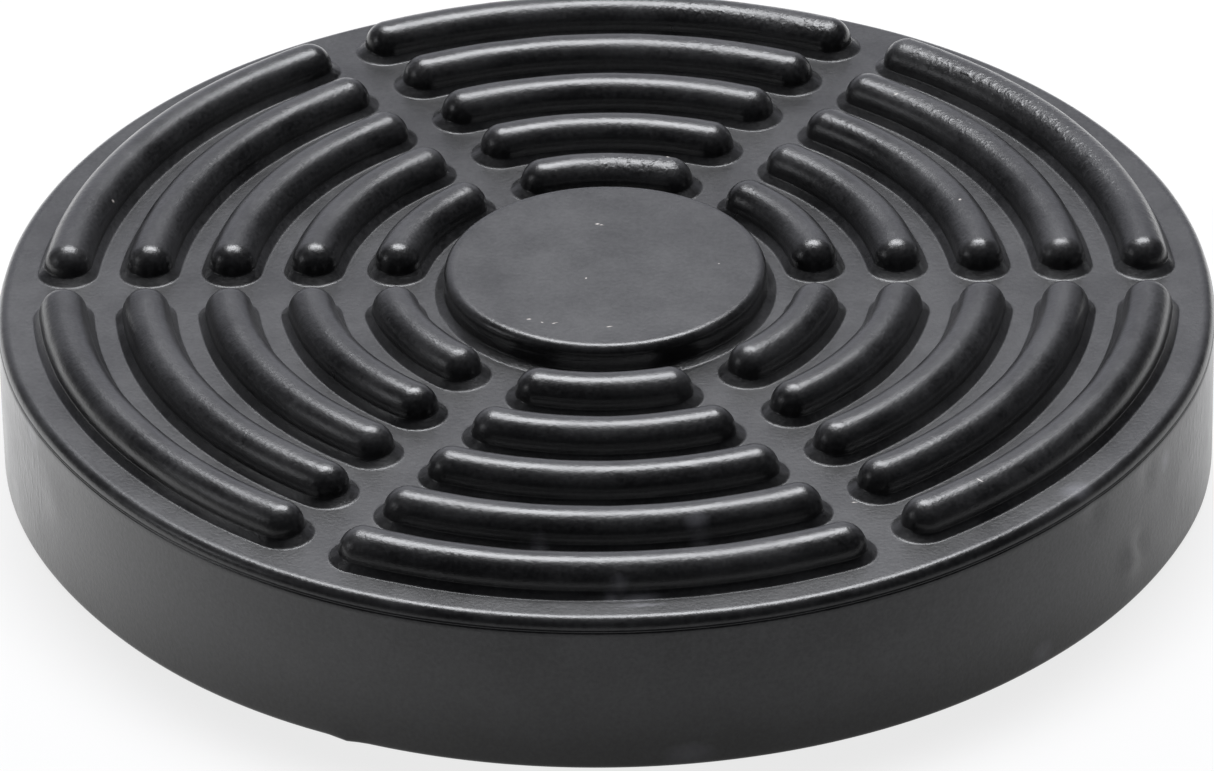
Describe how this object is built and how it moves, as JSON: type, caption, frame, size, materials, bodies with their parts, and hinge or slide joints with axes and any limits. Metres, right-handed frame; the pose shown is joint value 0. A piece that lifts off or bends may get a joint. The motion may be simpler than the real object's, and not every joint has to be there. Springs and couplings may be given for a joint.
{
  "type": "lift arm rubber pad",
  "caption": "Thick round rubber pad for a vehicle lift arm: flat underside, plain wall, and on top a raised round boss and five rings of curved grip ribs, each on a low sloping skirt.",
  "frame": {"origin": "middle of the flat underside, in the plane it rests on", "axes": "+Z is the pad's axis, up from the underside to the grip ribs; +X points along one of the plain spokes between two sectors of ribs"},
  "size_m": [0.14, 0.14, 0.0231],
  "materials": {
    "rubber": "satin"
  },
  "bodies": {
    "root": {"rubber_pad": "rubber"}
  },
  "joints": []
}
